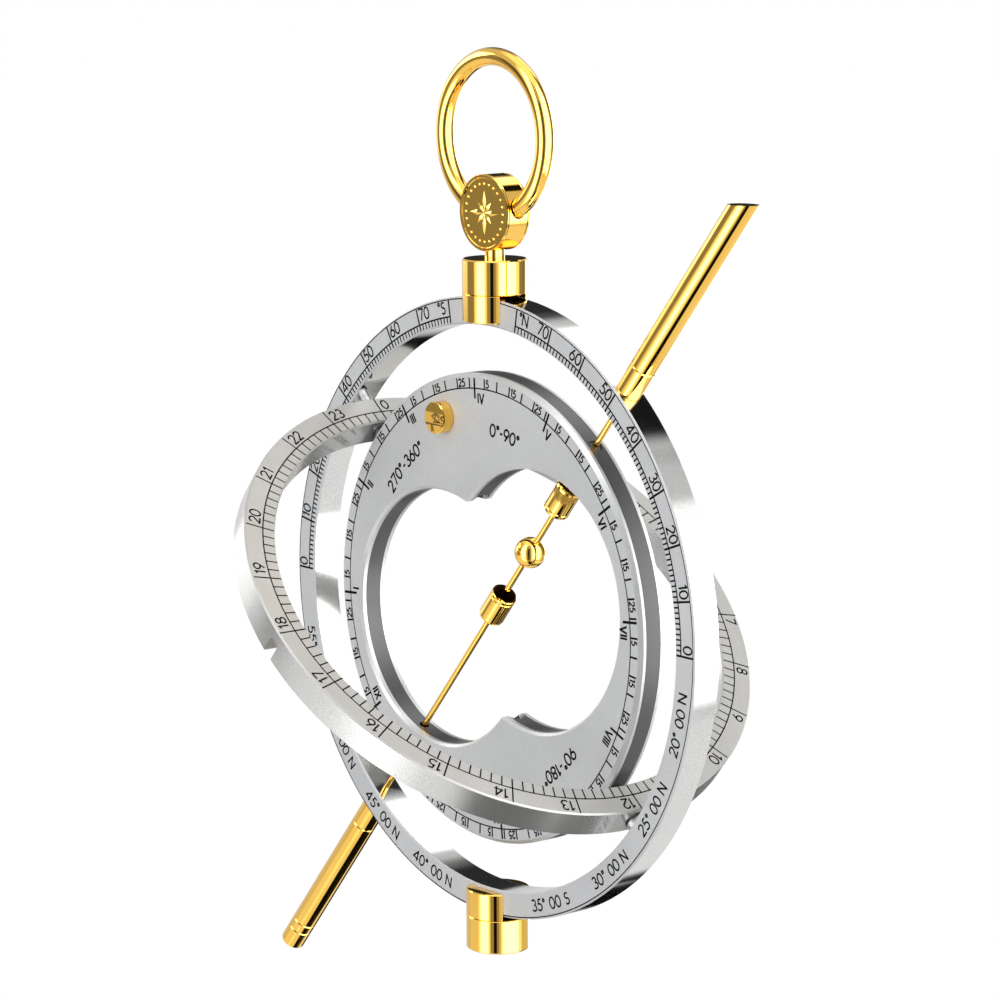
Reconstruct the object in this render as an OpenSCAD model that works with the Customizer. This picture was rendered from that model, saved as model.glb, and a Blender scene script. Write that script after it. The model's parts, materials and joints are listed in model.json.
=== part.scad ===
// Hanging universal ring dial: a meridian ring with a polar axis, a tilting hour ring,
// a date disc turning on the axis needle and a sliding bead between two cups.
// The meridian ring lies in the XZ plane, its front face looks toward -Y, +Z is up.
// All pieces are drawn about the dial centre and then shifted so that the hang point,
// the top of the inside of the suspension ring, is the origin.

/* [Rings] */
// outer diameter of the meridian ring
ring_d = 116; // [90:1:160]
// radial width of the meridian ring
ring_w = 5.1; // [4:0.1:7]
// thickness shared by the meridian ring, the hour ring and the date disc
plate_t = 6; // [5.6:0.1:8]
// radial gap between the meridian ring and the hour ring
ring_gap = 1.8; // [1.4:0.1:3]
// radial width of the hour ring
hour_w = 5.95; // [4.5:0.05:8]
// edge break along the rings
edge = 0.3; // [0.15:0.05:0.5]

/* [Polar axis] */
// latitude the dial is set to, the slope of the polar axis in degrees
latitude = 50; // [45:1:55]
// thickness of the axis needle
needle_d = 1.1; // [0.8:0.1:1.6]
// thickness of the two outer rods
rod_d = 4.8; // [4:0.1:6.5]
// how far each rod stands out of the meridian ring
rod_l = 44.6; // [30:0.2:50]
// length of the collar between ring and rod
collar_l = 6.2; // [3:0.1:8]
// length of the end piece of the lower rod
tip_l = 7.1; // [5:0.1:10]

/* [Date disc] */
// gap between the rim of the disc and the hour ring
disc_gap = 1.25; // [1.2:0.05:2.5]
// edge break along the rim of the disc
disc_edge = 0.7; // [0.3:0.1:1]
// width left between the openings and the rim, at the face
rim_w = 5.15; // [4:0.05:8]
// distance of each opening from the disc centre
lobe_off = 14; // [11:0.25:16]
// direction of the openings, degrees from +X
lobe_dir = 14.5; // [0:0.5:30]
// diameter of the knob on the disc
knob_d = 6; // [4:0.1:8]
// height of the knob
knob_h = 2.3; // [1.5:0.1:4]

/* [Beads] */
// diameter of the bead
bead_d = 5.8; // [4:0.1:7]
// diameter of the two cups
cup_d = 4.9; // [4:0.1:5.2]
// length of each cup
cup_l = 6.64; // [4:0.1:9]
// gap between the closed end of the upper cup and the wall of the disc's opening
cup_park = 0.8; // [0.5:0.1:2]
// distance from the bead to the mouth of each cup
cup_gap = 11.5; // [6:0.1:11.8]

/* [Clamps and suspension] */
// diameter of the top clamp and of the foot clamp
clamp_d = 12; // [10.5:0.1:16]
// height of the solid cap of each clamp
cap_h = 6.4; // [6:0.1:9]
// height of the jaws that straddle the ring
jaw_h = 5.1; // [3:0.1:5.4]
// free play between jaws and ring face
jaw_play = 0.1; // [0.05:0.05:0.5]
// diameter of the swivel eye
eye_d = 14; // [12:0.2:20]
// thickness of the suspension ring's wire
wire_d = 3.3; // [2.8:0.1:4]
// mean radius of the suspension ring
hoop_r = 14.4; // [12:0.1:20]

/* [Hidden] */
$fn = 96;

fit = 0.05;
snug = 0.02;
free = 0.3;
swing = 0.15;
big = 400;
half_t = plate_t / 2;
ring_ro = ring_d / 2;
ring_ri = ring_ro - ring_w;
hour_ro = ring_ri - ring_gap;
hour_ri = hour_ro - hour_w;
disc_r = hour_ri - disc_gap;
needle_r = needle_d / 2;
rod_r = rod_d / 2;
rod_end = ring_ro + rod_l;
tip_s = rod_end - tip_l;
tenon_r = 1.2;
tenon_l = 2.5;
groove_s = tip_s + 2.4;
groove_d = 0.15;
lobe_r = disc_r - rim_w - lobe_off;
lobe_wall = lobe_r - 0.5;
tilt_up = 90 - latitude;

// clamps
clamp_r = clamp_d / 2;
cap_gap = 0.6;
cap_z0 = ring_ro + cap_gap;
cap_z1 = cap_z0 + cap_h;
jaw_z0 = cap_z0 - jaw_h;
jaw_y = half_t + jaw_play;
jaw_pin_r = 0.6;
jaw_pin_l = 2.4;
jaw_pin_y = (jaw_y + clamp_r) / 2;
jaw_pin_x = 1.5;
pocket_r = 3.4;
stem_r = 1.85;
head_r = 3.05;
head_h = 1.5;
head_z = cap_z1 - 2.3 - free - head_h;

// swivel eye and suspension ring
eye_r = eye_d / 2;
eye_z = cap_z1 + 1.4 + eye_r;
wire_r = wire_d / 2;
eye_y = wire_r + 0.55;
medal_t = 0.4;
hoop_z = eye_z - 0.6 + hoop_r;
hang_z = hoop_z + hoop_r - wire_r;

// pivots of the hour ring
pin_r = 1.2;
boss_r = 2;
bush_r = 2.1;
pivot_in = 0.9;
pivot_end = ring_ro - 1.5;

// notch of the hour ring for the needle
notch_w = needle_d + 1.4;
notch_d = needle_r + 0.35;

// disc bores
socket_r = cup_d / 2 + 0.3;
lobe_side = lobe_off * sin(latitude - lobe_dir);
wall_s = lobe_off * cos(latitude - lobe_dir) + sqrt(lobe_wall * lobe_wall - lobe_side * lobe_side);
socket_s = wall_s + 3.6;
bush_l = 3.4;
bush_s = disc_r - 0.25;
disc_bush_r = 1.3;
cusp_s = sqrt(lobe_wall * lobe_wall - lobe_off * lobe_off) + 0.4;
cusp_bore_r = 1.85;
knob_r = knob_d / 2;
knob_at = 36.6 / 43.9 * disc_r;
knob_dir = 108.4;
knob_pin_r = 1;

// cups
cup_r = cup_d / 2;
cup_in = cup_r - 0.5;
upper_mouth = wall_s - cup_park - cup_l;
bead_s = upper_mouth - cup_gap;
lower_mouth = bead_s - cup_gap;

// moves a shape drawn about the dial centre into the hanging frame
module hang() {
  translate([0, 0, -hang_z]) children();
}

// lays a shape drawn along +Z onto the polar axis
module on_axis() {
  rotate([0, tilt_up, 0]) children();
}

// lays a shape drawn along +Z onto the 12 o'clock spoke, square to the polar axis
module on_noon() {
  rotate([0, tilt_up + 90, 0]) children();
}

// stands a shape drawn along +Z on the front face of the meridian plane
module to_front() {
  rotate([90, 0, 0]) children();
}

module bevel_ring(ro, ri, h, c) {
  rotate_extrude() polygon([[ri + c, -h], [ro - c, -h], [ro, -h + c], [ro, h - c], [ro - c, h],
    [ri + c, h], [ri, h - c], [ri, -h + c]]);
}

module bevel_rod(r, z0, z1, c0, c1) {
  rotate_extrude() polygon([[0, z0], [r - c0, z0], [r, z0 + c0], [r, z1 - c1], [r - c1, z1], [0, z1]]);
}

module tube(ro, ri, z0, z1) {
  difference() {
    translate([0, 0, z0]) cylinder(r = ro, h = z1 - z0);
    translate([0, 0, z0 - 1]) cylinder(r = ri, h = z1 - z0 + 2);
  }
}

/* suspension */

module suspension_ring() {
  color("#d8a838") hang()
    translate([0, 0, hoop_z]) rotate([90, 0, 0])
      rotate_extrude() translate([hoop_r, 0]) circle(r = wire_r);
}

module swivel_eye() {
  color("#d8a838") hang()
    difference() {
      translate([0, 0, eye_z]) rotate([90, 0, 0])
        rotate_extrude() polygon([[0, -eye_y], [eye_r - 0.15, -eye_y], [eye_r, 0.15 - eye_y],
          [eye_r, eye_y - 0.15], [eye_r - 0.15, eye_y], [0, eye_y]]);
      translate([0, 0, hoop_z]) rotate([90, 0, 0])
        rotate_extrude() translate([hoop_r, 0]) circle(r = wire_r + swing);
      translate([0, 0, cap_z1]) cylinder(r = stem_r + snug, h = 1.4 + 2.6);
    }
}

module medallion(side) {
  hang() translate([0, side * eye_y, eye_z]) rotate([side < 0 ? 90 : -90, 0, 0])
    rotate_extrude() polygon([[0, 0], [eye_r - 0.1, 0], [eye_r, 0.1], [eye_r, medal_t - 0.1],
      [eye_r - 0.1, medal_t], [eye_r - 0.55, medal_t], [eye_r - 0.7, medal_t - 0.2], [0, medal_t - 0.2]]);
}

module medallion_front() {
  color("#d8a838") medallion(-1);
}

module medallion_back() {
  color("#d8a838") medallion(1);
}

// neck between eye and clamp, its head turns in a pocket of the cap
module swivel_stem() {
  color("#d8a838") hang()
    rotate_extrude() polygon([[0, head_z], [head_r - 0.2, head_z], [head_r, head_z + 0.2],
      [head_r, head_z + head_h], [stem_r, head_z + head_h], [stem_r, cap_z1 + 3.8], [0, cap_z1 + 3.8]]);
}

/* top clamp */

// cap drawn with its joint face at cap_z0 and its outer end at cap_z1
module cap_body() {
  difference() {
    bevel_rod(clamp_r, cap_z0, cap_z1, 0.15, 0.25);
    for (sx = [-1, 1]) for (sy = [-1, 1])
      translate([sx * jaw_pin_x, sy * jaw_pin_y, cap_z0 - 1]) cylinder(r = jaw_pin_r + snug, h = jaw_pin_l + 1.1);
  }
}

// one jaw: a slice of the clamp's round outline in front of or behind the ring, with two pins
module jaw(side) {
  intersection() {
    bevel_rod(clamp_r, jaw_z0, cap_z0, 0.2, 0.15);
    translate([-clamp_r - 1, side < 0 ? -big - jaw_y : jaw_y, jaw_z0 - 1]) cube([clamp_d + 2, big, jaw_h + 2]);
  }
  for (sx = [-1, 1])
    translate([sx * jaw_pin_x, side * jaw_pin_y, cap_z0 - 1]) cylinder(r = jaw_pin_r, h = jaw_pin_l + 1);
}

module top_cap() {
  color("#d8a838") hang()
    difference() {
      cap_body();
      translate([0, 0, cap_z0 - 1]) cylinder(r = pocket_r, h = cap_h - 2.3 + 1);
      translate([0, 0, cap_z0]) cylinder(r = stem_r + fit, h = cap_h + 1);
    }
}

module top_jaw_front() {
  color("#d8a838") hang() jaw(-1);
}

module top_jaw_back() {
  color("#d8a838") hang() jaw(1);
}

/* foot clamp */

module foot_cap() {
  color("#d8a838") hang() rotate([180, 0, 0]) cap_body();
}

module foot_jaw_front() {
  color("#d8a838") hang() rotate([180, 0, 0]) jaw(1);
}

module foot_jaw_back() {
  color("#d8a838") hang() rotate([180, 0, 0]) jaw(-1);
}

/* meridian ring with the polar axis */

module meridian_ring() {
  color("#c9cacb") hang()
    difference() {
      to_front() bevel_ring(ring_ro, ring_ri, half_t, edge);
      on_axis() translate([0, 0, -ring_ro - 5]) cylinder(r = needle_r + snug, h = ring_d + 10);
      for (a = [0, 180]) on_noon() rotate([a, 0, 0]) {
        cylinder(r = pin_r + snug, h = pivot_end + 0.1);
        cylinder(r = boss_r + snug, h = ring_ri + 0.6);
      }
    }
}

module polar_needle() {
  color("#dcae3c") hang() on_axis()
    translate([0, 0, -ring_ro - collar_l - 3]) cylinder(r = needle_r, h = ring_d + 2 * collar_l + 6);
}

// collar with a fine groove where the rod begins
module collar() {
  difference() {
    bevel_rod(rod_r, ring_ro, ring_ro + collar_l, 0.1, 0.15);
    translate([0, 0, ring_ro - 1]) cylinder(r = needle_r + snug, h = collar_l + 2);
  }
}

module rod_bore(s) {
  translate([0, 0, s]) cylinder(r = needle_r + snug, h = 3.2);
}

module upper_collar() {
  color("#dcae3c") hang() on_axis() collar();
}

module lower_collar() {
  color("#dcae3c") hang() on_axis() rotate([180, 0, 0]) collar();
}

// the upper rod ends in a level cut
module upper_rod() {
  color("#dcae3c") hang()
    difference() {
      on_axis() bevel_rod(rod_r, ring_ro + collar_l, rod_end + 6, 0.15, 0.1);
      on_axis() rod_bore(ring_ro + collar_l - 0.1);
      translate([-big / 2, -big / 2, (ring_ro + rod_l + 0.8) * sin(latitude)]) cube([big, big, big]);
    }
}

// the end piece sits on a tenon of the lower rod
module lower_rod() {
  color("#dcae3c") hang() on_axis() rotate([180, 0, 0])
    difference() {
      union() {
        bevel_rod(rod_r, ring_ro + collar_l, tip_s, 0.15, 0.15);
        translate([0, 0, tip_s - 0.5]) cylinder(r = tenon_r, h = 0.5 + tenon_l);
      }
      rod_bore(ring_ro + collar_l - 0.1);
    }
}

module lower_tip() {
  color("#dcae3c") hang() on_axis() rotate([180, 0, 0])
    difference() {
      rotate_extrude() polygon([[0, tip_s], [rod_r - 0.15, tip_s], [rod_r, tip_s + 0.15],
        [rod_r, groove_s - groove_d], [rod_r - groove_d, groove_s], [rod_r, groove_s + groove_d],
        [rod_r, rod_end - 0.3], [rod_r - 0.3, rod_end], [0, rod_end]]);
      translate([0, 0, tip_s - 0.5]) cylinder(r = tenon_r + snug, h = 0.6 + tenon_l);
    }
}

// headed pin: dome inside the hour ring, shank through its bush, boss seated in the meridian ring
module pivot_pin() {
  translate([0, 0, hour_ri - pivot_in]) cylinder(r = pin_r, h = pivot_end - hour_ri + pivot_in);
  translate([0, 0, hour_ro + free]) cylinder(r = boss_r, h = ring_ri + 0.55 - hour_ro - free);
  intersection() {
    translate([0, 0, hour_ri - pivot_in + 2.2]) sphere(r = 2.2);
    translate([0, 0, hour_ri - pivot_in - 1]) cylinder(r = 1.9, h = pivot_in - free + 1);
  }
}

module pivot_12h() {
  color("#b9bbbd") hang() on_noon() pivot_pin();
}

module pivot_0h() {
  color("#b9bbbd") hang() on_noon() rotate([180, 0, 0]) pivot_pin();
}

/* hour ring */

module hour_ring() {
  color("#c4c4c2") hang()
    difference() {
      on_axis() bevel_ring(hour_ro, hour_ri, half_t, edge);
      for (a = [0, 180]) on_noon() rotate([a, 0, 0])
        translate([0, 0, hour_ri - 1]) cylinder(r = bush_r + snug, h = hour_w + 2);
      on_axis() translate([-notch_w / 2, -hour_ro - 1, -half_t - 1]) cube([notch_w, hour_w + 2.5, half_t + 1 + notch_d]);
      on_axis() translate([-notch_w / 2, hour_ri - 1.5, -notch_d]) cube([notch_w, hour_w + 2.5, half_t + 1 + notch_d]);
    }
}

module hour_bush() {
  tube(bush_r, pin_r + fit, hour_ri + 0.08, hour_ro - 0.08);
}

module hour_bush_12h() {
  color("#a9abad") hang() on_noon() hour_bush();
}

module hour_bush_0h() {
  color("#a9abad") hang() on_noon() rotate([180, 0, 0]) hour_bush();
}

/* date disc */

module lobe(side) {
  translate([side * lobe_off, 0, 0]) {
    translate([0, 0, -half_t - 1]) cylinder(r = lobe_wall, h = plate_t + 2);
    translate([0, 0, half_t - 0.5]) cylinder(r1 = lobe_wall, r2 = lobe_wall + 1, h = 1);
    translate([0, 0, -half_t - 0.5]) cylinder(r1 = lobe_wall + 1, r2 = lobe_wall, h = 1);
  }
}

module date_disc() {
  color("#bfc0c1") hang()
    difference() {
      to_front() bevel_rod(disc_r, -half_t, half_t, disc_edge, disc_edge);
      to_front() rotate([0, 0, lobe_dir]) {
        lobe(-1);
        lobe(1);
        translate([-2, -cusp_s, -half_t - 1]) cube([4, 2 * cusp_s, plate_t + 2]);
        for (a = [0, 180]) rotate([0, 0, a]) translate([0, cusp_s + 4, 0]) rotate([90, 0, 0]) cylinder(r = cusp_bore_r, h = 8);
      }
      on_axis() translate([0, 0, -disc_r - 2]) cylinder(r = needle_r + 0.4, h = 2 * disc_r + 4);
      on_axis() cylinder(r = socket_r, h = socket_s);
      for (a = [0, 180]) on_axis() rotate([a, 0, 0])
        translate([0, 0, bush_s - bush_l - 0.05]) cylinder(r = disc_bush_r + snug, h = bush_l + 3);
      to_front() rotate([0, 0, knob_dir]) translate([knob_at, 0, half_t - 2]) cylinder(r = knob_pin_r + fit, h = 3);
    }
}

module disc_bush_upper() {
  color("#dcae3c") hang() on_axis() tube(disc_bush_r, needle_r + fit, bush_s - bush_l, bush_s);
}

module disc_bush_lower() {
  color("#dcae3c") hang() on_axis() rotate([180, 0, 0]) tube(disc_bush_r, needle_r + fit, bush_s - bush_l, bush_s);
}

// knob on the front face, turning on a short pin
module noon_knob() {
  color("#d8a838") hang() to_front() rotate([0, 0, knob_dir]) translate([knob_at, 0, half_t]) {
    bevel_rod(knob_r, 0.05, knob_h, 0.1, 0.15);
    translate([0, 0, -1.9]) cylinder(r = knob_pin_r, h = 2.2);
  }
}

/* beads on the needle */

module nodus_bead() {
  color("#dcae3c") hang() on_axis()
    difference() {
      translate([0, 0, bead_s]) sphere(d = bead_d);
      translate([0, 0, bead_s - bead_d]) cylinder(r = needle_r + fit, h = 2 * bead_d);
    }
}

// cup with its mouth at z = 0 opening toward +Z and a rounded closed end below
module cup() {
  difference() {
    rotate_extrude() polygon([[needle_r + fit, -cup_l], [cup_r - 0.75, -cup_l], [cup_r - 0.4, 0.1 - cup_l],
      [cup_r - 0.12, 0.35 - cup_l], [cup_r, 0.75 - cup_l], [cup_r, -1.02], [cup_r - 0.12, -0.9], [cup_r, -0.78],
      [cup_r, -0.12], [cup_r - 0.12, 0], [needle_r + fit, 0]]);
    translate([0, 0, -4.6]) cylinder(r = cup_in, h = 5.6);
  }
}

module lower_cup() {
  color("#dcae3c") hang() on_axis() translate([0, 0, lower_mouth]) cup();
}

module upper_cup() {
  color("#dcae3c") hang() on_axis() translate([0, 0, upper_mouth]) rotate([180, 0, 0]) cup();
}

suspension_ring();
swivel_eye();
medallion_front();
medallion_back();
swivel_stem();
top_cap();
top_jaw_front();
top_jaw_back();
meridian_ring();
polar_needle();
upper_collar();
upper_rod();
lower_collar();
lower_rod();
lower_tip();
pivot_0h();
pivot_12h();
hour_ring();
hour_bush_0h();
hour_bush_12h();
date_disc();
disc_bush_upper();
disc_bush_lower();
noon_knob();
nodus_bead();
lower_cup();
upper_cup();
foot_cap();
foot_jaw_front();
foot_jaw_back();
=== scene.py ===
# Hanging universal ring dial: engraved steel rings on a gold plated axis and suspension.
import json
import math

import bmesh
import bpy
from mathutils import Matrix, Vector


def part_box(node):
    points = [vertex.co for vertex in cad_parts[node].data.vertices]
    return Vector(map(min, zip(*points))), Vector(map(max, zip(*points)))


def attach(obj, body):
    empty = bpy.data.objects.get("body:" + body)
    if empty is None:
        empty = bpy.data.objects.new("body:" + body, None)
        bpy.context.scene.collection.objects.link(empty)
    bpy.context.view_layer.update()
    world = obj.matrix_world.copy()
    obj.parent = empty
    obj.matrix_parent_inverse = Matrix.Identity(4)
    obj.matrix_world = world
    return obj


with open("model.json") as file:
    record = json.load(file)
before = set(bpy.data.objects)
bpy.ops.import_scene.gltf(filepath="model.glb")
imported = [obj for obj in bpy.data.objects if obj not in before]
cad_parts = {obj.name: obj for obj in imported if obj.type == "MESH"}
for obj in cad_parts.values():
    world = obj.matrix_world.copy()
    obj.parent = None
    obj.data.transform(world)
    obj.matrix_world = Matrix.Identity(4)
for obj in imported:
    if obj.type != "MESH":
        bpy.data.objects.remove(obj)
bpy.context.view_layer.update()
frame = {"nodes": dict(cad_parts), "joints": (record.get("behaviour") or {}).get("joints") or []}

# The meridian ring. On the real dial it is cut from stainless steel plate, its two faces
# ground matt and engraved, its walls turned and polished. The engraving is laid out in
# millimetres in the plane of the face, as seen by the reader, and filled with black.
MM = 0.001
joints = {joint["name"]: joint for joint in frame["joints"]}
dial_centre = Vector(joints["date_turn"]["pos_m"])
pole = Vector(joints["date_turn"]["axis"]).normalized()
noon = Vector(joints["hour_fold"]["axis"]).normalized()
ring_low, ring_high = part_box("meridian_ring")
meridian_outer = (ring_high[0] - ring_low[0]) / 2 / MM
half_plate = (ring_high[1] - ring_low[1]) / 2 / MM


def linear(hex_colour):
    """An sRGB hex colour as linear RGBA."""
    rgb = [int(hex_colour[i:i + 2], 16) / 255 for i in (1, 3, 5)]
    return [c / 12.92 if c <= 0.04045 else ((c + 0.055) / 1.055) ** 2.4 for c in rgb] + [1.0]


def add_node(tree, kind, settings=None, links=None):
    """Adds a node; settings name its sockets or properties, links name what feeds its sockets."""
    made = tree.nodes.new(kind)
    for key, value in (settings or {}).items():
        if isinstance(key, int) or key in made.inputs:
            made.inputs[key].default_value = value
        else:
            setattr(made, key, value)
    for key, output in (links or {}).items():
        tree.links.new(output, made.inputs[key])
    return made


def new_material(name):
    """An empty material with its output node and its node tree."""
    made = bpy.data.materials.new(name)
    made.use_nodes = True
    made.node_tree.nodes.clear()
    return made, made.node_tree, add_node(made.node_tree, "ShaderNodeOutputMaterial")


def spread(tree, noise, low, high, start=0.3, end=0.7):
    """Stretches a noise, which seldom leaves the range from start to end, over low to high."""
    return add_node(tree, "ShaderNodeMapRange", {1: start, 2: end, 3: low, 4: high},
                    {0: noise.outputs["Fac"]})


def plate_steel(name, axis, face, wall, edge=0.015, core=None, core_half=0.0):
    """Stainless plate: matt ground faces square to the axis, another finish on the walls between
    them and, where a core is given, a third along the middle of the walls. Each finish is a
    colour, a metallic share and a roughness. In millimetres, edge is how far the finish of the
    face reaches down and core_half is half the width of the core. The grit of the grinding is
    drawn coarser than it is, near 0.3 mm, so that it shows at all, over clouds of about 17 mm;
    to the eye the face is an even, soft grey without any mirror in it."""
    grit_scale, cloud_scale = 3600.0, 60.0
    made, tree, out = new_material(name)

    def laid(mask, below, above):
        """One finish over another where the mask is one."""
        mixed = []
        for under, over in zip(below, above):
            kind, first, result = ("RGBA", 6, 2) if not mixed else ("FLOAT", 2, 0)
            settings, links = {"data_type": kind, first + 1: over}, {"Factor": mask.outputs[0]}
            (settings if isinstance(under, (float, list)) else links)[first] = under
            mixed.append(add_node(tree, "ShaderNodeMix", settings, links).outputs[result])
        return mixed

    place = add_node(tree, "ShaderNodeTexCoord")
    from_centre = add_node(tree, "ShaderNodeVectorMath", {"operation": "SUBTRACT", 1: dial_centre},
                           {0: place.outputs["Object"]})
    along = add_node(tree, "ShaderNodeVectorMath", {"operation": "DOT_PRODUCT", 1: axis},
                     {0: from_centre.outputs[0]})
    height = add_node(tree, "ShaderNodeMath", {"operation": "ABSOLUTE"}, {0: along.outputs["Value"]})
    on_face = add_node(tree, "ShaderNodeMath", {"operation": "GREATER_THAN", 1: (half_plate - edge) * MM},
                       {0: height.outputs[0]})
    finish = [linear(wall[0]), *wall[1:]]
    if core:
        in_core = add_node(tree, "ShaderNodeMath", {"operation": "LESS_THAN", 1: core_half * MM},
                           {0: height.outputs[0]})
        finish = laid(in_core, finish, [linear(core[0]), *core[1:]])
    colour, metal, rough = laid(on_face, finish, [linear(face[0]), *face[1:]])
    grit = add_node(tree, "ShaderNodeTexNoise", {"Scale": grit_scale, "Detail": 2.0, "Roughness": 0.6},
                    {"Vector": from_centre.outputs[0]})
    cloud = add_node(tree, "ShaderNodeTexNoise", {"Scale": cloud_scale, "Detail": 3.0, "Roughness": 0.5},
                     {"Vector": from_centre.outputs[0]})
    speckle = spread(tree, grit, 0.9, 1.06)
    patch = spread(tree, cloud, 0.93, 1.03)
    shade = add_node(tree, "ShaderNodeMath", {"operation": "MULTIPLY"},
                     {0: speckle.outputs[0], 1: patch.outputs[0]})
    tone = add_node(tree, "ShaderNodeVectorMath", {"operation": "SCALE"},
                    {0: colour, "Scale": shade.outputs[0]})
    worn = add_node(tree, "ShaderNodeMath", {"operation": "MULTIPLY"}, {0: rough, 1: speckle.outputs[0]})
    tooth = add_node(tree, "ShaderNodeMapRange", {3: 0.0, 4: 0.2}, {0: on_face.outputs[0]})
    bump = add_node(tree, "ShaderNodeBump", {"Distance": 0.03 * MM},
                    {"Height": grit.outputs["Fac"], "Strength": tooth.outputs[0]})
    steel = add_node(tree, "ShaderNodeBsdfPrincipled", None,
                     {"Base Color": tone.outputs[0], "Roughness": worn.outputs[0], "Metallic": metal,
                      "Normal": bump.outputs["Normal"]})
    tree.links.new(steel.outputs[0], out.inputs["Surface"])
    return made


def wear(node, material):
    """Gives a CAD node its finish."""
    slots = frame["nodes"][node].data.materials
    slots.clear()
    slots.append(material)


def face_place(right, up, height, centre=dial_centre):
    """From the plane of a scale, in millimetres, to the frame: x to the reader's right, y up, z out."""
    out = right.cross(up)
    turn = Matrix((right, up, out)).transposed().to_4x4()
    return Matrix.Translation(centre + out * height * MM) @ turn @ Matrix.Scale(MM, 4)


def black_fill():
    """Black enamel rubbed into the engraving: dull and a little grainy, almost without shine."""
    made, tree, out = new_material("black_engraving_fill")
    place = add_node(tree, "ShaderNodeTexCoord")
    grain = add_node(tree, "ShaderNodeTexNoise", {"Scale": 5000.0, "Detail": 1.0},
                     {"Vector": place.outputs["Object"]})
    tone = add_node(tree, "ShaderNodeMix", {"data_type": "RGBA", 6: linear("#060607"), 7: linear("#111112")},
                    {"Factor": grain.outputs["Fac"]})
    paint = add_node(tree, "ShaderNodeBsdfPrincipled", {"Roughness": 0.9, "Specular IOR Level": 0.08},
                     {"Base Color": tone.outputs[2]})
    tree.links.new(paint.outputs[0], out.inputs["Surface"])
    return made


engraving_black = black_fill()


def straight_runs(points, width, sharp=40):
    """Cuts a stroke at its sharp corners, each run carried a little past the corner."""
    past = width * 0.35
    runs = [[Vector(points[0])]]
    for before, here, after in zip(points, points[1:], points[2:]):
        arriving, leaving = Vector(here) - Vector(before), Vector(after) - Vector(here)
        runs[-1].append(Vector(here))
        if math.degrees(arriving.angle(leaving)) > sharp:
            runs[-1][-1] = Vector(here) + arriving.normalized() * past
            runs.append([Vector(here) - leaving.normalized() * past])
    runs[-1].append(Vector(points[-1]))
    return runs


def engrave(name, strokes, place, body, material, relief=0.03):
    """Lays strokes, each a list of points and a width, on a face and rides them on its body. They
    stand for filled grooves and reach as far above the face as below it, by relief in millimetres."""
    data = bpy.data.curves.new(name, "CURVE")
    data.dimensions = "3D"
    data.twist_mode = "Z_UP"
    data.bevel_depth = 1.0
    data.bevel_resolution = 0
    data.use_fill_caps = True
    for points, width in strokes:
        closed = len(points) > 3 and (Vector(points[0]) - Vector(points[-1])).length < 1e-6
        for used in [points[:-1]] if closed else straight_runs(points, width):
            spline = data.splines.new("POLY")
            spline.points.add(len(used) - 1)
            spline.use_cyclic_u = closed
            for point, (x, y) in zip(spline.points, used):
                point.co = (x, y, 0, 1)
                point.radius = width / 2
    drawn = bpy.data.objects.new(name, data)
    bpy.context.scene.collection.objects.link(drawn)
    bpy.context.view_layer.update()
    mesh = bpy.data.meshes.new_from_object(drawn.evaluated_get(bpy.context.evaluated_depsgraph_get()))
    bpy.data.objects.remove(drawn)
    flatten = 0.4
    for vertex in mesh.vertices:
        vertex.co.z = max(-relief, min(relief, vertex.co.z * flatten))
    mesh.transform(place)
    mesh.name = name
    mesh.materials.clear()
    mesh.materials.append(material)
    piece = bpy.data.objects.new(name, mesh)
    bpy.context.scene.collection.objects.link(piece)
    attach(piece, body)


def polar(radius, degrees):
    """A point of a scale, the angle counted counterclockwise from the reader's right."""
    return (radius * math.cos(math.radians(degrees)), radius * math.sin(math.radians(degrees)))


def spoke(inner, outer, degrees, width):
    """A straight scale line from one radius to another."""
    return ([polar(inner, degrees), polar(outer, degrees)], width)


def scale_arc(radius, start, end, width):
    """A round scale line, with a point every degree."""
    steps = max(2, round(abs(end - start)))
    return ([polar(radius, start + (end - start) * i / steps) for i in range(steps + 1)], width)


def bow(x, y, rx, ry, start, end, steps=14):
    """Points along an elliptic arc, for the round strokes of a figure."""
    turn = [math.radians(start + (end - start) * i / steps) for i in range(steps + 1)]
    return [(x + rx * math.cos(a), y + ry * math.sin(a)) for a in turn]


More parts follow.
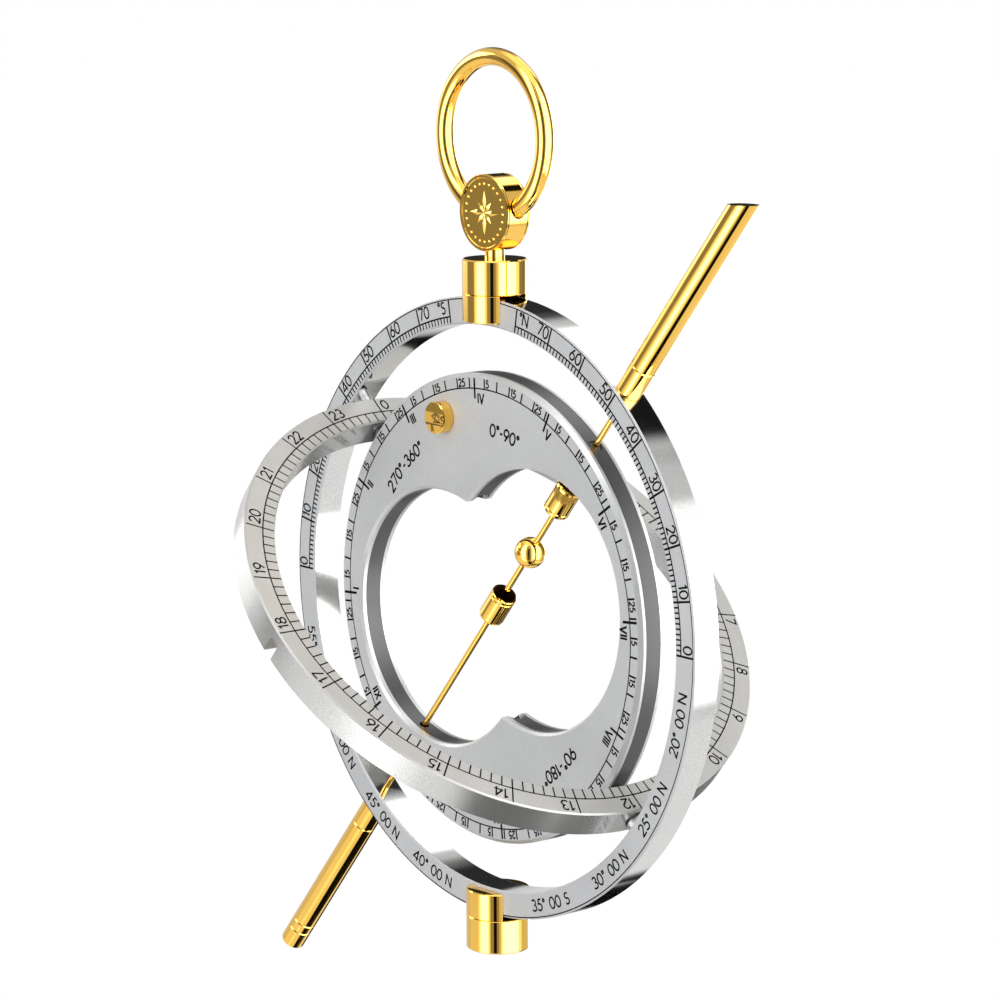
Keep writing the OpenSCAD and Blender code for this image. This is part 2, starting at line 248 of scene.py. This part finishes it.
def figure(char):
    """Width and strokes of a figure or sign in an upright, thin, even engraver's hand, 1 high."""
    six = [[(0.42, 1), (0.045, 0.42)], bow(0.3, 0.3, 0.29, 0.3, 150, 510, 20)]
    hand = {
        "0": (0.62, [bow(0.31, 0.5, 0.31, 0.5, 0, 360, 24)]),
        "1": (0.3, [[(0, 0.8), (0.22, 1), (0.22, 0)]]),
        "2": (0.58, [bow(0.28, 0.72, 0.27, 0.28, 172, -28) + [(0, 0), (0.58, 0)]]),
        "3": (0.56, [bow(0.26, 0.75, 0.23, 0.25, 150, -90), bow(0.26, 0.26, 0.29, 0.265, 88, -150)]),
        "4": (0.68, [[(0.5, 0), (0.5, 1), (0, 0.25), (0.68, 0.25)]]),
        "5": (0.56, [[(0.5, 1), (0.18, 1)] + bow(0.24, 0.31, 0.31, 0.31, 118, -145)]),
        "6": (0.6, six),
        "7": (0.58, [[(0, 1), (0.58, 1), (0.18, 0)]]),
        "8": (0.58, [bow(0.29, 0.76, 0.23, 0.24, 0, 360, 18), bow(0.29, 0.26, 0.28, 0.26, 0, 360, 18)]),
        "9": (0.6, [[(0.6 - x, 1 - y) for x, y in stroke] for stroke in six]),
        "N": (0.66, [[(0, 0), (0, 1), (0.66, 0), (0.66, 1)]]),
        "S": (0.5, [bow(0.25, 0.76, 0.21, 0.24, 35, 270), bow(0.25, 0.26, 0.25, 0.26, 90, -145)]),
        "I": (0.1, [[(0.05, 0), (0.05, 1)]]),
        "V": (0.62, [[(0, 1), (0.31, 0), (0.62, 1)]]),
        "X": (0.6, [[(0, 0), (0.6, 1)], [(0, 1), (0.6, 0)]]),
        "°": (0.26, [bow(0.13, 0.87, 0.11, 0.12, 0, 360, 12)]),
        "-": (0.34, [[(0, 0.45), (0.34, 0.45)]]),
        " ": (0.3, []),
    }
    return hand[char]


def ring_figures(text, baseline, degrees, height, width, anchor=0.0, stretch=1.0, heads_in=False):
    """Strokes of a row of figures bent round a ring. Heads outward it reads clockwise, heads
    inward counterclockwise. Anchor 0 starts it at the angle, 0.5 centres it, 1 ends it there."""
    gap = 0.17
    row, x = [], 0.0
    for char in text:
        wide, strokes = figure(char)
        row += [[(x + px, py) for px, py in stroke] for stroke in strokes]
        x += wide + gap
    shift = anchor * (x - gap)
    middle = baseline + (-0.5 if heads_in else 0.5) * height
    way = 1 if heads_in else -1
    bent = []
    for stroke in row:
        points = []
        for px, py in stroke:
            turn = math.degrees((px - shift) * height * stretch / middle)
            points.append(polar(baseline - way * py * height, degrees + way * turn))
        bent.append((points, width))
    return bent


def latitude_scale():
    """Single degrees along the inner edge, numbered tens above them, both ways from 0 to 80."""
    ticks_inner, mid_circle, border = 53.25, 54.42, meridian_outer - 0.42
    base, tall, pen = 55.1, 2.15, 0.36
    strokes = [scale_arc(border, 0, 360, 0.22)]
    for right_side in (True, False):
        for degree in range(81):
            angle = degree if right_side else 180 - degree
            tens = degree % 10 == 0
            strokes.append(spoke(ticks_inner, border if tens else mid_circle, angle, 0.4 if tens else 0.32))
            if tens and degree < 80:
                strokes += ring_figures(str(degree), base, angle + (0.6 if right_side else -0.55), tall, pen,
                                        anchor=1.0 if right_side else 0.0)
        start = 0 if right_side else 180
        strokes.append(scale_arc(mid_circle, start, 80 if right_side else 100, 0.3))
    strokes += ring_figures("°N", base, 79.0, tall, pen)
    strokes += ring_figures("°S", base, 101.3, tall, pen, anchor=1.0)
    return strokes


def latitude_table():
    """A plain row of latitudes along the lower half, heads inward."""
    base, tall, pen = meridian_outer - 1.6, 2.05, 0.36
    strokes = []
    for i, angle in enumerate((198, 216.5, 235, 253, 290, 310, 328.5, 347)):
        sign = "S" if i == 4 else "N"
        strokes += ring_figures(f"{55 - 5 * i}° 00 {sign}", base, angle, tall, pen, anchor=0.5, stretch=1.1,
                                heads_in=True)
    return strokes


broken_edge = 0.32  # how far down the edges of both rings are broken, matt like the faces
front_place = face_place(Vector((1, 0, 0)), Vector((0, 0, 1)), half_plate)
wear("meridian_ring", plate_steel("ground_stainless_meridian", Vector((0, 1, 0)),
                                  ("#C2C3C5", 0.15, 0.5), ("#D6D6D4", 1.0, 0.08), edge=broken_edge))
engrave("latitude_scale", latitude_scale(), front_place, "meridian", engraving_black)
engrave("latitude_table", latitude_table(), front_place, "meridian", engraving_black)


# The polar axis: a thin needle held in collars, with two thick rods outside the ring. All are
# brass, turned, polished and gold plated; the plate is soft yellow and mirrors its room.
def gold_plate(name, bore=None):
    """Gold plate with faint wipe marks a few millimetres wide and a slow drift of its tone. A bore
    is a middle on the axis, a radius and a half length, in metres; inside it the colour is painted
    shade, dark brown, and the plate is fully rough."""
    made, tree, out = new_material(name)
    place = add_node(tree, "ShaderNodeTexCoord")
    wipe = add_node(tree, "ShaderNodeTexNoise", {"Scale": 420.0, "Detail": 3.0},
                    {"Vector": place.outputs["Object"]})
    rough = spread(tree, wipe, 0.03, 0.07, start=0.35)
    warmth = add_node(tree, "ShaderNodeTexNoise", {"Scale": 90.0, "Detail": 2.0},
                      {"Vector": place.outputs["Object"]})
    tone = add_node(tree, "ShaderNodeMix", {"data_type": "RGBA", 6: linear("#FACB66"), 7: linear("#F6C257")},
                    {"Factor": warmth.outputs["Fac"]})
    if bore:
        middle, radius, half_length = bore
        from_middle = add_node(tree, "ShaderNodeVectorMath", {"operation": "SUBTRACT", 1: middle},
                               {0: place.outputs["Object"]})
        across = add_node(tree, "ShaderNodeVectorMath", {"operation": "CROSS_PRODUCT", 1: pole},
                          {0: from_middle.outputs[0]})
        gap = add_node(tree, "ShaderNodeVectorMath", {"operation": "LENGTH"}, {0: across.outputs[0]})
        along = add_node(tree, "ShaderNodeVectorMath", {"operation": "DOT_PRODUCT", 1: pole},
                         {0: from_middle.outputs[0]})
        reach = add_node(tree, "ShaderNodeMath", {"operation": "ABSOLUTE"}, {0: along.outputs["Value"]})
        near = add_node(tree, "ShaderNodeMath", {"operation": "LESS_THAN", 1: radius},
                        {0: gap.outputs["Value"]})
        short = add_node(tree, "ShaderNodeMath", {"operation": "LESS_THAN", 1: half_length},
                         {0: reach.outputs[0]})
        inside = add_node(tree, "ShaderNodeMath", {"operation": "MULTIPLY"},
                          {0: near.outputs[0], 1: short.outputs[0]})
        # Painted shade: inside the bore the gold is coloured dark brown.
        tone = add_node(tree, "ShaderNodeMix", {"data_type": "RGBA", 7: linear("#2A1B08")},
                        {"Factor": inside.outputs[0], 6: tone.outputs[2]})
        rough = add_node(tree, "ShaderNodeMath", {"operation": "MAXIMUM"},
                         {0: rough.outputs[0], 1: inside.outputs[0]})
    plate = add_node(tree, "ShaderNodeBsdfPrincipled", {"Metallic": 1.0},
                     {"Base Color": tone.outputs[2], "Roughness": rough.outputs[0]})
    tree.links.new(plate.outputs[0], out.inputs["Surface"])
    return made


gold = gold_plate("polished_gold_plate")
for axis_piece in ("polar_needle", "upper_collar", "upper_rod", "lower_collar", "lower_rod", "lower_tip"):
    wear(axis_piece, gold)


# The hour ring tilts on two headed steel pins that stand in the meridian ring. It is the same
# plate; its upper face carries the 24 hours with a tick for every ten minutes.
def hour_scale():
    """Each hour is a long line with its number after it, noon at the reader's right."""
    inner, mid_circle, outer = 45.4, 47.56, 50.85
    base, tall, pen = 48.2, 2.05, 0.34
    strokes = [scale_arc(mid_circle, 0, 360, 0.26)]
    for hour in range(24):
        angle = -15 * (hour - 12)
        strokes.append(spoke(inner, outer, angle, 0.3))
        for tenth in range(1, 6):
            strokes.append(spoke(inner, mid_circle, angle - 2.5 * tenth, 0.28))
        strokes += ring_figures(str(hour), base, angle - 1.1, tall, pen, stretch=1.12)
    return strokes


def turned_steel(name, colour):
    """Turned steel, left from the lathe: bright, with a soft blurred highlight that wanders a little."""
    made, tree, out = new_material(name)
    place = add_node(tree, "ShaderNodeTexCoord")
    turned = add_node(tree, "ShaderNodeTexNoise", {"Scale": 900.0, "Detail": 2.0},
                      {"Vector": place.outputs["Object"]})
    rough = spread(tree, turned, 0.3, 0.42)
    steel = add_node(tree, "ShaderNodeBsdfPrincipled", {"Base Color": linear(colour), "Metallic": 1.0},
                     {"Roughness": rough.outputs[0]})
    tree.links.new(steel.outputs[0], out.inputs["Surface"])
    return made


pins = turned_steel("turned_pin_steel", "#9A9A9B")
for pin in ("pivot_0h", "pivot_12h", "hour_bush_0h", "hour_bush_12h"):
    wear(pin, pins)
wear("hour_ring", plate_steel("ground_stainless_hours", pole, ("#B7B6B3", 0.25, 0.45), ("#D6D6D4", 0.8, 0.18),
                              edge=broken_edge))
hour_place = face_place(noon, pole.cross(noon), half_plate)
engrave("hour_scale", hour_scale(), hour_place, "hour_ring", engraving_black)


# The date disc, of the same plate with a darker middle to its walls, turns on the needle in two
# small bushes. Its rim carries the year with a tick for every fifth day; the spacing follows the
# sun's path, so winter days stand wider.
def sun_angle(day):
    """Angle of a day on the face, the first of January being day 0."""
    daily = 360 / 365.25
    swing = 1.915
    perihelion = 2
    new_year = 184.0
    gone = daily * day + swing * (math.sin(math.radians(daily * (day - perihelion)))
                                  + math.sin(math.radians(daily * perihelion)))
    return new_year - gone


def year_scale():
    """Months between long lines, named by Roman numerals, with the 5th, 15th and 25th in figures."""
    tick_outer, circle, month_inner = 43.0, 41.1, 39.2
    numerals = ("I", "II", "III", "IV", "V", "VI", "VII", "VIII", "IX", "X", "XI", "XII")
    strokes = [scale_arc(circle, 0, 360, 0.26)]
    first_day = 0
    for numeral, days in zip(numerals, (31, 28, 31, 30, 31, 30, 31, 31, 30, 31, 30, 31)):
        line = sun_angle(first_day)
        strokes.append(spoke(month_inner, tick_outer, line, 0.5))
        strokes += ring_figures(numeral, 38.4, line - 1.2, 1.85, 0.4, stretch=1.05)
        for date in range(5, min(days, 30) + 1, 5):
            tick = sun_angle(first_day + date - 1)
            strokes.append(spoke(circle, tick_outer, tick, 0.38))
            if date % 10 == 5:
                strokes += ring_figures(str(date), 41.45, tick - 0.65, 1.35, 0.32)
        first_day += days
    return strokes


def season_quarters():
    """The sun's longitude in each quarter of the year, beside the two equinox points."""
    base, tall, pen = 32.8, 2.2, 0.42
    strokes = []
    for text, angle in (("270°-360°", 134.5), ("0°-90°", 79.5),
                        ("90°-180°", 309.75), ("180°-270°", 254.5)):
        strokes += ring_figures(text, base, angle, tall, pen, anchor=0.5, stretch=1.05)
    return strokes


wear("date_disc", plate_steel("ground_stainless_disc", Vector((0, 1, 0)), ("#C4C5C6", 0.15, 0.46),
                              ("#C8C9CA", 0.6, 0.35), core=("#525253", 0.5, 0.35), core_half=1.7))
engrave("year_scale", year_scale(), front_place, "date_disc", engraving_black)
engrave("season_quarters", season_quarters(), front_place, "date_disc", engraving_black)
bushes = turned_steel("burnished_bush_steel", "#5C5B5A")
for bush in ("disc_bush_upper", "disc_bush_lower"):
    wear(bush, bushes)
wear("noon_knob", gold)


def cut_gold():
    """The bottom of a cut in the gold plate: dull and brown, because little light reaches it."""
    made, tree, out = new_material("engraved_gold_shade")
    place = add_node(tree, "ShaderNodeTexCoord")
    grit = add_node(tree, "ShaderNodeTexNoise", {"Scale": 3000.0, "Detail": 2.0},
                    {"Vector": place.outputs["Object"]})
    tone = add_node(tree, "ShaderNodeMix", {"data_type": "RGBA", 6: linear("#4A2E06"), 7: linear("#7A5212")},
                    {"Factor": grit.outputs["Fac"]})
    cut = add_node(tree, "ShaderNodeBsdfPrincipled", {"Metallic": 0.5, "Roughness": 0.5},
                   {"Base Color": tone.outputs[2]})
    tree.links.new(cut.outputs[0], out.inputs["Surface"])
    return made


def knob_mark():
    """The knob's figure, upside down as the knob stands, under a line and a pointer to the rim."""
    knob_radius, tall, pen = 2.85, 1.7, 0.24
    line_at, pointer_at = -1.25, -0.85
    half_line = math.sqrt(knob_radius ** 2 - line_at ** 2)
    pointer_end = -math.sqrt(knob_radius ** 2 - pointer_at ** 2)
    strokes = [([(-half_line, line_at), (half_line, line_at)], pen),
               ([(pointer_at, line_at), (pointer_at, pointer_end)], pen)]
    along = -0.95
    for char in "12":
        wide, shapes = figure(char)
        for shape in shapes:
            strokes.append(([(-(along + x) * tall + 0.2, 0.85 - y * tall) for x, y in shape], pen))
        along += wide + 0.2
    return strokes


knob_low, knob_high = (Vector(corner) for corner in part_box("noon_knob"))
knob_centre = (knob_low + knob_high) / 2
knob_centre.y = knob_low.y
knob_place = face_place(Vector((1, 0, 0)), Vector((0, 0, 1)), 0, knob_centre)
engrave("knob_mark", knob_mark(), knob_place, "noon_knob", cut_gold(), relief=0.015)

# The bead and the two cups slide on the needle. They are turned brass, gold plated like the axis;
# the cups open toward the bead, and their bores are coloured dark brown as painted shade. The bores
# reach 16.2 mm from its middle.
bead_low, bead_high = (Vector(corner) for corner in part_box("nodus_bead"))
cup_gold_bore_shade = gold_plate("gold_plate_painted_bore_shade", ((bead_low + bead_high) / 2, 2.03 * MM, 16.2 * MM))
wear("nodus_bead", gold)
for cup in ("lower_cup", "upper_cup"):
    wear(cup, cup_gold_bore_shade)

# The clamps, the swivel and the suspension ring, all polished brass under the same gold plate.
# Caps and jaws are turned, the eye is bored for the ring, and the ring is bent from round wire.
for clamp_piece in ("top_cap", "top_jaw_front", "top_jaw_back", "foot_cap", "foot_jaw_front", "foot_jaw_back",
                    "swivel_stem", "swivel_eye", "medallion_front", "medallion_back", "suspension_ring"):
    wear(clamp_piece, gold)


def compass_relief(name, medallion, right):
    """A plain eight-pointed star in a ring of beads, struck in the sunk face of a medallion."""
    sunk, bead_ring, bead_radius, beads = 0.2, 5.3, 0.24, 24
    low, high = (Vector(corner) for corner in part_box(medallion))
    up = Vector((0, 0, 1))
    centre = (low + high) / 2
    centre.y = low.y if right.cross(up).y < 0 else high.y
    shape = bmesh.new()

    def lay(made, size, shift, degrees):
        bmesh.ops.scale(shape, vec=size, verts=made["verts"])
        bmesh.ops.translate(shape, vec=shift, verts=made["verts"])
        bmesh.ops.rotate(shape, cent=(0, 0, 0), matrix=Matrix.Rotation(math.radians(degrees), 3, "Z"),
                         verts=made["verts"])

    for i in range(beads):
        lay(bmesh.ops.create_icosphere(shape, subdivisions=2, radius=bead_radius), (1, 1, 0.6),
            (bead_ring, 0, 0), 360 * i / beads)
    for i in range(8):
        length, width = (4.1, 1.05) if i % 2 == 0 else (2.7, 0.85)
        lay(bmesh.ops.create_cone(shape, cap_ends=True, segments=4, radius1=1, radius2=0, depth=1),
            (length / 2, width / 2, 0.17), (length / 2, 0, 0.08), 45 * i + 90)
    mesh = bpy.data.meshes.new(name)
    shape.to_mesh(mesh)
    shape.free()
    mesh.transform(face_place(right, up, -sunk, centre))
    mesh.materials.append(gold)
    piece = bpy.data.objects.new(name, mesh)
    bpy.context.scene.collection.objects.link(piece)
    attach(piece, "eye")


compass_relief("compass_relief_front", "medallion_front", Vector((1, 0, 0)))
compass_relief("compass_relief_back", "medallion_back", Vector((-1, 0, 0)))


# The room: a plain pale floor well below the hanging dial, white all round, a camera at the
# photograph's angle and soft boxes.
def seen_rays(tree):
    """One for the rays of the camera, of mirrors and of glass, nought for those that only light."""
    path = add_node(tree, "ShaderNodeLightPath")
    seen = path.outputs["Is Camera Ray"]
    for kind in ("Is Glossy Ray", "Is Transmission Ray"):
        either = add_node(tree, "ShaderNodeMath", {"operation": "MAXIMUM"}, {0: seen, 1: path.outputs[kind]})
        seen = either.outputs[0]
    return seen


def white_room():
    """A world that looks white and lights the dial at a little over half of that."""
    lighting_level, seen_level = 0.55, 1.0
    world = bpy.data.worlds.new("white_studio")
    bpy.context.scene.world = world
    world.use_nodes = True
    tree = world.node_tree
    tree.nodes.clear()
    out = add_node(tree, "ShaderNodeOutputWorld")
    level = add_node(tree, "ShaderNodeMapRange", {3: lighting_level, 4: seen_level}, {0: seen_rays(tree)})
    glow = add_node(tree, "ShaderNodeBackground", {"Color": (1, 1, 1, 1)}, {"Strength": level.outputs[0]})
    tree.links.new(glow.outputs[0], out.inputs["Surface"])


white_room()

scene = bpy.context.scene
scene.view_settings.view_transform = "Standard"


def photo_camera():
    azimuth, elevation, roll = (math.radians(a) for a in (50.872, 9.713, -0.2913))
    distance = 692.56 * MM
    aim = dial_centre + Vector((-2.253, 2.55, 19.614)) * MM
    back = Vector((math.sin(azimuth) * math.cos(elevation), -math.cos(azimuth) * math.cos(elevation),
                   math.sin(elevation)))
    level_right = Vector((math.cos(azimuth), math.sin(azimuth), 0))
    level_up = back.cross(level_right)
    right = math.cos(roll) * level_right + math.sin(roll) * level_up
    up = back.cross(right)
    data = bpy.data.cameras.new("photo_camera")
    data.lens = 134.464
    data.sensor_width = 36.0
    data.clip_start = 0.01
    camera = bpy.data.objects.new("photo_camera", data)
    camera.matrix_world = (Matrix.Translation(aim + back * distance)
                           @ Matrix((right, up, back)).transposed().to_4x4())
    scene.collection.objects.link(camera)
    scene.camera = camera
    return azimuth


camera_azimuth = photo_camera()


def around(name, degrees, elevation, distance, size, level, colour="#FFFFFF"):
    """A soft box aimed at the dial, its place given from the camera's direction, positive to the right.
    Polished metal mirrors the light tent, so the box itself stays out of reflections."""
    turn = camera_azimuth + math.radians(degrees)
    lift = math.radians(elevation)
    away = Vector((math.sin(turn) * math.cos(lift), -math.cos(turn) * math.cos(lift), math.sin(lift)))
    data = bpy.data.lights.new(name, "AREA")
    data.shape = "RECTANGLE"
    data.size, data.size_y = size
    data.energy = level * math.pi * size[0] * size[1]
    data.color = linear(colour)[:3]
    lamp = bpy.data.objects.new(name, data)
    lamp.visible_glossy = False
    lamp.matrix_world = (Matrix.Translation(dial_centre + away * distance)
                         @ away.to_track_quat("Z", "Y").to_matrix().to_4x4())
    scene.collection.objects.link(lamp)


around("soft_box_right", 50, 12, 1.3, (1.5, 1.5), 1.6)
around("soft_box_left", -50, 15, 1.3, (1.0, 1.5), 1.6)
around("soft_box_top", 20, 75, 1.3, (1.2, 1.2), 0.6)
around("soft_box_behind", 175, 30, 1.3, (1.5, 1.2), 1.2)

# The light tent that the polished metal mirrors: white panels, dim gaps between them and black
# flags, as a studio hangs them round a mirror finish. Each panel is given by azimuth from the
# camera and elevation, half width, half height and softness in degrees, and brightness.
tent_radius = 1.5
tent_fill = 0.75
tent_panels = {
    "lower_band": (0, -62, 181, 32, 10, 0.95),
    "crown": (0, 80, 181, 20, 20, 1.6),
    "lower_left": (-80, -45, 40, 27, 8, 1.0),
    "left_dark": (-95, 4, 16, 17, 6, 0.3),
    "left_black": (-90, 13, 7, 10, 5, 0.1),
    "left_glow": (-132, 3, 18, 7, 3, 1.6),
    "left_white": (-119, 20, 16, 12, 3, 5.0),
    "front_left_glow": (-53, 5, 23, 62, 3, 1.4),
    "front_left_white": (-51.5, 6, 14.5, 53, 3, 5.5),
    "right_edge": (86, 3, 7, 27, 4, 1.5),
    "right_white": (49, 12, 33, 50, 4, 5.5),
    "front_dim_left": (-22, 0, 5, 60, 2, 0.35),
    "right_glow": (13.5, 0, 3.5, 60, 2, 1.5),
    "front_mid_right": (6.5, 0, 4, 60, 2, 0.75),
    "front_dim_right": (-0.5, 0, 4, 60, 1.5, 0.35),
    "front_black": (-10.5, -12, 6, 50, 1.5, 0.008),
    "right_dim": (111, 14, 14, 27, 6, 0.3),
    "right_deep": (124, 18, 9, 22, 6, 0.1),
    "right_black": (115, 51, 12, 11, 6, 0.01),
    "right_low": (118, -42, 40, 14, 4, 1.03),
    "behind_top": (149, 48, 17, 9, 4, 2.5),
    "behind_low_dark": (164, -27, 13, 11, 5, 0.15),
    "behind_white": (151, -4, 11, 16, 4, 5.5),
    "behind_black": (178, 20, 9, 15, 5, 0.03),
    "behind_grey": (-172, 42, 16, 10, 6, 0.35),
    "low_black": (167, -35, 11, 8, 3, 0.004),
    "low_black_left": (148, -42, 12, 4, 2, 0.004),
    "under_front": (0, -76, 33, 15, 5, 0.006),
    "under_deep": (55, -84, 101, 8, 4, 0.005),
    "under_right": (112, -78, 20, 9, 4, 0.01),
    "under_turn": (116, -73, 11, 9, 4, 0.01),
    "under_end": (131, -64, 9, 10, 3, 0.01),
}


def light_tent():
    """A ball round the dial that glows by direction, shown to reflections alone."""
    made, tree, out = new_material("light_tent_panels")
    place = add_node(tree, "ShaderNodeTexCoord")
    from_centre = add_node(tree, "ShaderNodeVectorMath", {"operation": "SUBTRACT", 1: dial_centre},
                           {0: place.outputs["Object"]})
    away = add_node(tree, "ShaderNodeVectorMath", {"operation": "NORMALIZE"}, {0: from_centre.outputs[0]})
    parts = add_node(tree, "ShaderNodeSeparateXYZ", None, {0: away.outputs[0]})

    def sum_up(operation, first, second=0.0, third=0.0):
        given = {"operation": operation}
        linked = {}
        for i, value in enumerate((first, second, third)):
            if isinstance(value, (int, float)):
                given[i] = value
            else:
                linked[i] = value
        return add_node(tree, "ShaderNodeMath", given, linked).outputs[0]

    back = sum_up("MULTIPLY", parts.outputs["Y"], -1.0)
    azimuth = sum_up("DEGREES", sum_up("ARCTAN2", parts.outputs["X"], back))
    lift = sum_up("DEGREES", sum_up("ARCSINE", parts.outputs["Z"]))
    level = add_node(tree, "ShaderNodeValue").outputs[0]
    level.default_value = tent_fill
    for degrees, elevation, half_width, half_height, soft, brightness in tent_panels.values():
        centre = math.degrees(camera_azimuth) + degrees
        sideways = sum_up("ABSOLUTE", sum_up("WRAP", sum_up("SUBTRACT", azimuth, centre), 180.0, -180.0))
        upward = sum_up("ABSOLUTE", sum_up("SUBTRACT", lift, float(elevation)))
        cover = []
        for offset, half in ((sideways, half_width), (upward, half_height)):
            rim = {"interpolation_type": "SMOOTHSTEP", 1: half + soft / 2, 2: half - soft / 2}
            cover.append(add_node(tree, "ShaderNodeMapRange", rim, {0: offset}).outputs[0])
        mask = sum_up("MULTIPLY", cover[0], cover[1])
        level = add_node(tree, "ShaderNodeMix", {3: brightness}, {"Factor": mask, 2: level}).outputs[0]
    glow = add_node(tree, "ShaderNodeEmission", {"Color": (1, 1, 1, 1)}, {"Strength": level})
    tree.links.new(glow.outputs[0], out.inputs["Surface"])
    made.cycles.emission_sampling = "NONE"

    shape = bmesh.new()
    bmesh.ops.create_icosphere(shape, subdivisions=5, radius=tent_radius)
    bmesh.ops.reverse_faces(shape, faces=shape.faces)
    bmesh.ops.translate(shape, vec=dial_centre, verts=shape.verts)
    mesh = bpy.data.meshes.new("light_tent")
    shape.to_mesh(mesh)
    shape.free()
    mesh.materials.append(made)
    tent = bpy.data.objects.new("light_tent", mesh)
    scene.collection.objects.link(tent)
    tent.visible_camera = False
    tent.visible_diffuse = False
    tent.visible_shadow = False


light_tent()


def pale_floor():
    """Plain pale floor well below the hanging dial, large enough to reach the horizon. It is matt
    and chalky, and mostly glows for the eye, so that it melts into the white of the room."""
    glow_share, glow_level = 0.9, 1.06
    floor_radius, drop = 30.0, tent_radius + 0.1
    made, tree, out = new_material("pale_floor")
    share = add_node(tree, "ShaderNodeMath", {"operation": "MULTIPLY", 1: glow_share}, {0: seen_rays(tree)})
    chalk = add_node(tree, "ShaderNodeBsdfDiffuse", {"Color": linear("#F4F4F2")})
    glow = add_node(tree, "ShaderNodeEmission", {"Color": (1, 1, 1, 1), "Strength": glow_level})
    both = add_node(tree, "ShaderNodeMixShader", None,
                    {0: share.outputs[0], 1: chalk.outputs[0], 2: glow.outputs[0]})
    tree.links.new(both.outputs[0], out.inputs["Surface"])
    shape = bmesh.new()
    bmesh.ops.create_circle(shape, cap_ends=True, segments=64, radius=floor_radius)
    mesh = bpy.data.meshes.new("floor")
    shape.to_mesh(mesh)
    shape.free()
    mesh.materials.append(made)
    mesh.transform(Matrix.Translation((0, 0, dial_centre.z - drop)))
    floor = bpy.data.objects.new("floor", mesh)
    scene.collection.objects.link(floor)


pale_floor()
